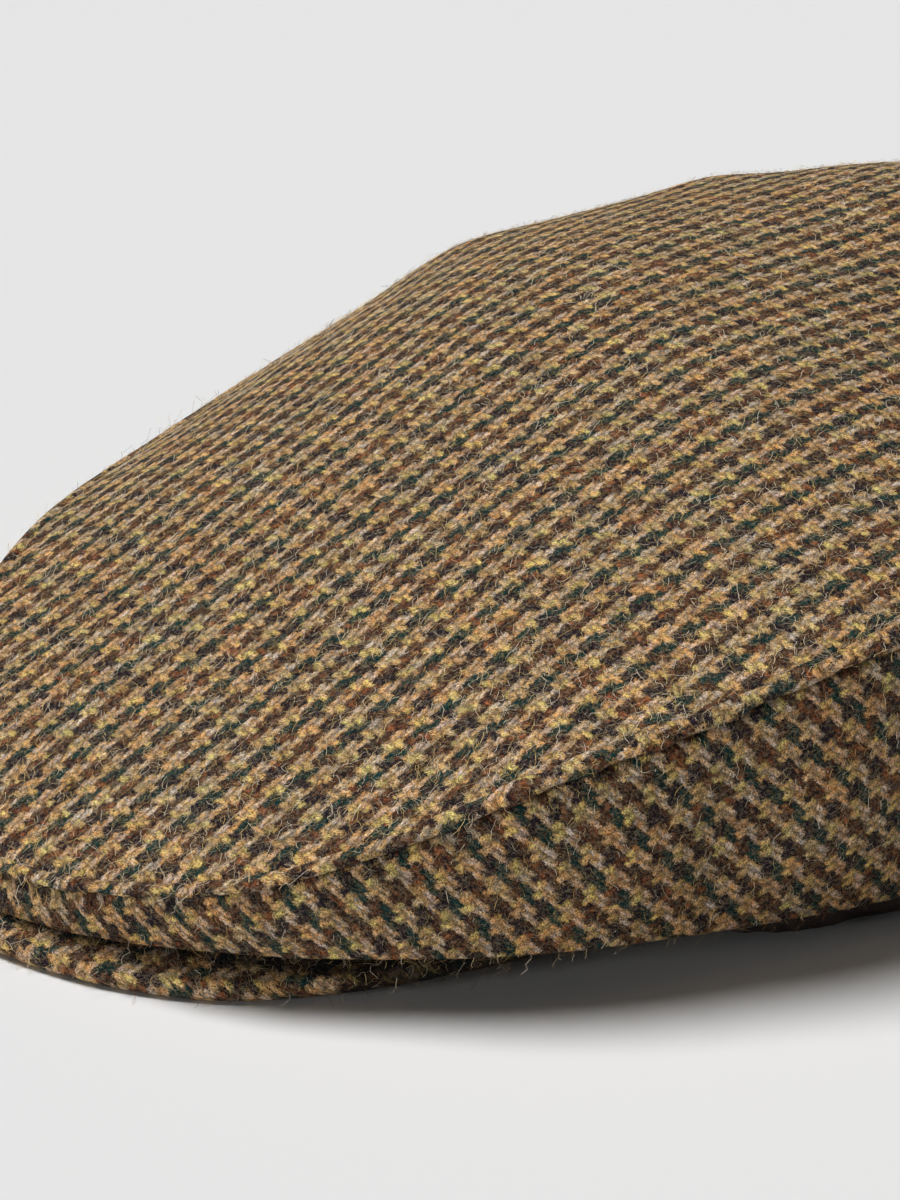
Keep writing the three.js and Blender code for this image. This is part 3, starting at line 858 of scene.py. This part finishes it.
    # a few brightly dyed specks
    speck = b.add("ShaderNodeTexVoronoi", {"Vector": cloth, "Scale": 1.1})
    off = b.math("ADD", speck.outputs["Distance"], b.product(grain, 0.12))
    near = b.spread(off, 0.1, 0.15, 1.0, 0.0)
    chance, tint = b.add("ShaderNodeSeparateColor", {0: speck.outputs["Color"]}).outputs[:2]
    rare = b.math("GREATER_THAN", chance, 0.72)
    dye = b.mix(b.math("GREATER_THAN", tint, 0.6), (0.42, 0.07, 0.03, 1), (0.62, 0.40, 0.02, 1))
    dye = b.mix(b.math("GREATER_THAN", tint, 0.85), dye, (0.07, 0.07, 0.16, 1))
    body = b.mix(b.product(near, rare, 0.6), body, dye)

    height = b.math("ADD", b.product(high, 0.6), b.product(grain, 0.7))
    height = b.math("ADD", height, b.product(hair, 0.35))
    rough = b.spread(grain, 0.2, 0.8, 0.84, 0.98)
    b.add("NodeGroupOutput", {"Color": body, "Height": height, "Roughness": rough})
    return tree


# a new material, and the builder of its nodes
def newMaterial(name):
    made = bpy.data.materials.new(name)
    made.use_nodes = True
    return made, nodeBuilder(made.node_tree)


# the material's surface, with its sockets fed
def surface(made, sockets):
    shader = made.node_tree.nodes["Principled BSDF"]
    for name, value in sockets.items():
        nodeBuilder(made.node_tree).feed(shader.inputs[name], value)
    return made


def tweedMaterial():
    made, b = newMaterial("tweed")
    place = b.add("ShaderNodeUVMap", uv_map="cloth").outputs[0]
    cloth = b.add("ShaderNodeGroup", node_tree=tweedGroup())
    b.feed(cloth.inputs["Cloth"], place)
    for name in tweedColours:
        b.feed(cloth.inputs[name], tweed[name])
    # painted shade: the base colour is darkened where the cloth lies folded away from the light
    paintedShade = b.add("ShaderNodeAttribute", attribute_name="paintedShade").outputs["Fac"]
    paintedShadeFactor = b.spread(paintedShade, 0.0, 1.0, 1.0, tweed["inPaintedShade"])
    return surface(made, {
        "Base Color": b.vector("SCALE", cloth.outputs["Color"], scale=paintedShadeFactor),
        "Roughness": cloth.outputs["Roughness"],
        "Normal": b.bump(cloth.outputs["Height"], 1.0, tweed["relief"]),
        "Sheen Weight": tweed["sheen"],
        "Sheen Roughness": 0.6,
        "Specular IOR Level": 0.15,
    })


satin = {
    "deep": (0.018, 0.012, 0.010, 1),
    "worn": (0.065, 0.044, 0.036, 1),
    "smooth": 0.24,      # roughness at its least and its most
    "rough": 0.42,
    "relief": 0.00006,
}


def satinMaterial():
    made, b = newMaterial("brown satin")
    place = b.add("ShaderNodeUVMap", uv_map="cloth").outputs[0]
    grain = b.noise(b.vector("MULTIPLY", place, (60, 22, 1)), 1.0, 3, 0.6)
    patch = b.spread(b.noise(place, 0.8, 3, 0.6), 0.3, 0.7)
    return surface(made, {
        "Base Color": b.mix(patch, satin["deep"], satin["worn"]),
        "Roughness": b.spread(grain, 0.2, 0.8, satin["smooth"], satin["rough"]),
        "Normal": b.bump(grain, 0.5, satin["relief"]),
        "Anisotropic": 0.5,
    })


tweedCloth = tweedMaterial()
for piece in (topCap, sideLeft, sideRight, peakCloth):
    piece.data.materials.append(tweedCloth)
liningCloth.data.materials.append(satinMaterial())
print("materials ready")


wool = {
    "pale": (0.86, 0.73, 0.54, 1),
    "golden": (0.72, 0.50, 0.18, 1),
    "rusty": (0.36, 0.15, 0.06, 1),
    "dark": (0.05, 0.035, 0.03, 1),
    "width": 0.06,
    "lowestAngle": 0.02,
}


def woolMaterial():
    made, b = newMaterial("wool fibre")
    tone = b.add("ShaderNodeAttribute", attribute_name="tone").outputs["Fac"]
    where = b.add("ShaderNodeTexCoord").outputs["Object"]
    fleck = b.spread(b.noise(where, 900, 1), 0.3, 0.7, 0.8, 1.15)
    colour = b.mix(b.spread(tone, 0.2, 0.5), wool["golden"], wool["pale"])
    colour = b.mix(b.math("GREATER_THAN", tone, 0.7), colour, wool["rusty"])
    colour = b.mix(b.math("GREATER_THAN", tone, 0.8), colour, wool["dark"])
    return surface(made, {
        "Base Color": b.vector("SCALE", colour, scale=fleck),
        "Roughness": 0.7,
        "Specular IOR Level": 0.25,
    })


woolFibre = woolMaterial()


class geometryBuilder(nodeBuilder):
    def random(self, low, high, seed):
        sockets = {2: low, 3: high, "Seed": seed}
        return self.add("FunctionNodeRandomValue", sockets, data_type="FLOAT").outputs[1]

    def named(self, name):
        node = self.add("GeometryNodeInputNamedAttribute", {"Name": name}, data_type="FLOAT")
        return node.outputs[0]

    def store(self, geometry, name, value, domain):
        sockets = {"Geometry": geometry, "Name": name, "Value": value}
        kind = "GeometryNodeStoreNamedAttribute"
        return self.add(kind, sockets, data_type="FLOAT", domain=domain).outputs[0]


def fibreTree():
    tree = bpy.data.node_groups.new("curled fibres", "GeometryNodeTree")
    kinds = {
        "Geometry": ("Geometry",),
        "Float": ("Per Square Metre", "Length", "Width", "Lowest Angle", "Highest Angle", "Curl", "Swirls"),
        "Int": ("Pieces", "Seed"),
        "Material": ("Material",),
    }
    for kind, names in kinds.items():
        for name in names:
            tree.interface.new_socket(name, in_out="INPUT", socket_type="NodeSocket" + kind)
    tree.interface.new_socket("Geometry", in_out="OUTPUT", socket_type="NodeSocketGeometry")
    b = geometryBuilder(tree)
    given = b.add("NodeGroupInput").outputs
    shown = b.add("FunctionNodeCompare", {0: b.named("nap"), 1: 0.99},
                  data_type="FLOAT", operation="GREATER_THAN").outputs[0]
    scatter = b.add("GeometryNodeDistributePointsOnFaces", {
        "Mesh": given["Geometry"],
        "Selection": shown,
        "Density": given["Per Square Metre"],
        "Seed": given["Seed"],
    }).outputs

    step = b.math("DIVIDE", given["Length"], given["Pieces"])
    count = b.math("ADD", given["Pieces"], 1)
    line = b.add("GeometryNodeMeshLine", {"Count": count, "Offset": b.combine(step, 0.0)})
    place = b.math("DIVIDE", b.add("GeometryNodeInputIndex").outputs[0], given["Pieces"])
    straight = b.store(line.outputs[0], "place", place, "POINT")

    spin = b.random(0.0, 2 * math.pi, 3)
    rise = b.random(given["Lowest Angle"], given["Highest Angle"], 5)
    tilt = b.combine(0.0, b.product(rise, -1.0), spin)
    tilt = b.add("FunctionNodeEulerToRotation", {0: tilt}).outputs[0]
    turned = b.add("FunctionNodeRotateRotation", {0: scatter["Rotation"], 1: tilt},
                   rotation_space="LOCAL").outputs[0]
    sizes = b.add("FunctionNodeRandomValue", {0: (0.45, 0.45, 0.45), 1: (1.4, 1.4, 1.4), "Seed": 7},
                  data_type="FLOAT_VECTOR").outputs[0]
    upwards = b.add("GeometryNodeCaptureAttribute")
    upwards.capture_items.new("VECTOR", "up")
    b.feed(upwards.inputs[0], scatter["Points"])
    b.feed(upwards.inputs[1], scatter["Normal"])
    put = b.add("GeometryNodeInstanceOnPoints", {
        "Points": upwards.outputs[0],
        "Instance": straight,
        "Rotation": turned,
        "Scale": sizes,
    }).outputs[0]
    toned = b.store(put, "tone", b.random(0.0, 1.0, 9), "INSTANCE")
    bent = b.add("GeometryNodeRealizeInstances", {0: toned}).outputs[0]

    # each fibre bends its own way, more towards its free end
    where = b.add("GeometryNodeInputPosition").outputs[0]
    far = b.math("POWER", b.named("place"), 0.8)
    for finer, amount in ((1.0, 1.0), (2.6, 0.4)):
        drawn = b.vector("ADD", where, b.combine(b.named("tone"), 0.0))
        swirl = b.noise(drawn, b.product(given["Swirls"], finer), 0.0, output="Color")
        push = b.vector("SUBTRACT", swirl, (0.5, 0.5, 0.5))
        lift = b.vector("PROJECT", push, upwards.outputs[1])
        push = b.vector("SUBTRACT", push, b.vector("SCALE", lift, scale=0.92))
        push = b.vector("SCALE", push, scale=b.product(far, given["Curl"], amount))
        bent = b.add("GeometryNodeSetPosition", {"Geometry": bent, "Offset": push}).outputs[0]

    # none goes through the floor
    x, y, z = b.add("ShaderNodeSeparateXYZ", {0: where}).outputs[:]
    above = b.combine(x, y, b.math("MAXIMUM", z, 0.0003))
    bent = b.add("GeometryNodeSetPosition", {"Geometry": bent, "Position": above}).outputs[0]
    curve = b.add("GeometryNodeMeshToCurve", {0: bent}).outputs[0]
    half = b.product(given["Width"], 0.5)
    ends = {"Start": b.combine(b.product(half, -1.0), 0.0), "End": b.combine(half, 0.0)}
    flat = b.add("GeometryNodeCurvePrimitiveLine", ends).outputs[0]
    ribbon = b.add("GeometryNodeCurveToMesh", {"Curve": curve, "Profile Curve": flat}).outputs[0]
    whole = b.add("GeometryNodeRealizeInstances", {0: ribbon}).outputs[0]
    dressed = b.add("GeometryNodeSetMaterial", {"Geometry": whole, "Material": given["Material"]})
    b.add("NodeGroupOutput", {0: dressed.outputs[0]})
    return tree


fibreGroup = fibreTree()


def growFibres(name, source, sizes):
    holder = bpy.data.objects.new(name + "_holder", source.data.copy())
    scene.collection.objects.link(holder)
    grow = holder.modifiers.new("grow", "NODES")
    grow.node_group = fibreGroup
    values = {
        "Width": wool["width"] * mm,
        "Lowest Angle": wool["lowestAngle"],
        "Material": woolFibre,
        **sizes,
    }
    for item in fibreGroup.interface.items_tree:
        if item.in_out == "INPUT" and item.name in values:
            grow[item.identifier] = values[item.name]
    ready = holder.evaluated_get(bpy.context.evaluated_depsgraph_get())
    mesh = bpy.data.meshes.new_from_object(ready)
    bpy.data.objects.remove(holder)
    mesh.name = name
    made = bpy.data.objects.new(name, mesh)
    scene.collection.objects.link(made)
    mesh.calc_loop_triangles()
    print(name, len(mesh.loop_triangles), "triangles")
    return made


# how many fibres, with lengths in metres and angles off the cloth in radians
shortWool = {
    "Per Square Metre": 430000.0,
    "Length": 0.0021,
    "Highest Angle": 0.4,
    "Curl": 0.0028,
    "Swirls": 520.0,
    "Pieces": 4,
    "Seed": 11,
}
longWool = {
    "Per Square Metre": 90000.0,
    "Length": 0.0042,
    "Highest Angle": 0.14,
    "Curl": 0.0058,
    "Swirls": 460.0,
    "Pieces": 9,
    "Seed": 23,
}
strayWool = {
    "Per Square Metre": 260.0,
    "Length": 0.011,
    "Highest Angle": 0.05,
    "Curl": 0.014,
    "Swirls": 110.0,
    "Pieces": 18,
    "Seed": 37,
}
fibrePieces = []
for label, source in (
    ("top", topCap),
    ("side_left", sideLeft),
    ("side_right", sideRight),
    ("peak", peakCloth),
):
    fibrePieces.append(growFibres(label + "_short_wool", source, shortWool))
    fibrePieces.append(growFibres(label + "_long_wool", source, longWool))
    fibrePieces.append(growFibres(label + "_stray_wool", source, strayWool))


# the pieces joined to the frame
for piece, node, slotName in (
    (topCap, "top_panel", "tweed"),
    (sideLeft, "side_panel_left", "tweed"),
    (sideRight, "side_panel_right", "tweed"),
    (peakCloth, "peak", "tweed"),
    (liningCloth, "lining", "satin"),
):
    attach(piece, "root")
    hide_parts(node)
for piece in fibrePieces:
    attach(piece, "root")

# each light: strength, how wide it is in degrees, the side it comes from, its height in degrees.
# the camera: the side it stands on, its height in degrees, how far off, and the place it looks at
stage = {
    "floor": (0.79, 0.79, 0.79, 1),
    "floorReach": 4,
    "world": 0.01,
    "lights": {
        "overhead": (3.0, 24, 284, 84),
        "fill": (1.75, 22, 355, 4),
    },
    "camera": (55, 22.3, 0.6),
    "aim": (0.028, -0.055, 0.049),
    "lens": 108,
}


# the direction towards something that stands on a side, so many degrees up
def towards(side, height):
    turn, rise = math.radians(side), math.radians(height)
    return Vector((math.sin(turn) * math.cos(rise), -math.cos(turn) * math.cos(rise), math.sin(rise)))


floorMesh = bpy.data.meshes.new("floor")
reach = stage["floorReach"]
corners = [(-reach, -reach, 0), (reach, -reach, 0), (reach, reach, 0), (-reach, reach, 0)]
floorMesh.from_pydata(corners, [], [(0, 1, 2, 3)])
floor = bpy.data.objects.new("floor", floorMesh)
scene.collection.objects.link(floor)
floorMaterial = newMaterial("pale floor")[0]
floorLook = {"Base Color": stage["floor"], "Roughness": 0.9, "Specular IOR Level": 0.1}
floorMesh.materials.append(surface(floorMaterial, floorLook))

world = bpy.data.worlds.new("soft grey")
world.use_nodes = True
world.node_tree.nodes["Background"].inputs["Color"].default_value = (1, 1, 1, 1)
world.node_tree.nodes["Background"].inputs["Strength"].default_value = stage["world"]
scene.world = world

for name, (strength, width, side, height) in stage["lights"].items():
    light = bpy.data.objects.new(name, bpy.data.lights.new(name, "SUN"))
    light.data.energy = strength
    light.data.angle = math.radians(width)
    light.rotation_euler = towards(side, height).to_track_quat("Z", "Y").to_euler()
    scene.collection.objects.link(light)
scene.view_settings.view_transform = "Standard"

camera = bpy.data.objects.new("camera", bpy.data.cameras.new("camera"))
camera.data.lens = stage["lens"]
camera.data.sensor_width = 36
camera.data.clip_start = 0.05
camera.data.clip_end = 50
side, height, distance = stage["camera"]
camera.location = Vector(stage["aim"]) + towards(side, height) * distance
camera.rotation_euler = towards(side, height).to_track_quat("Z", "Y").to_euler()
scene.collection.objects.link(camera)
scene.camera = camera
print("stage ready")
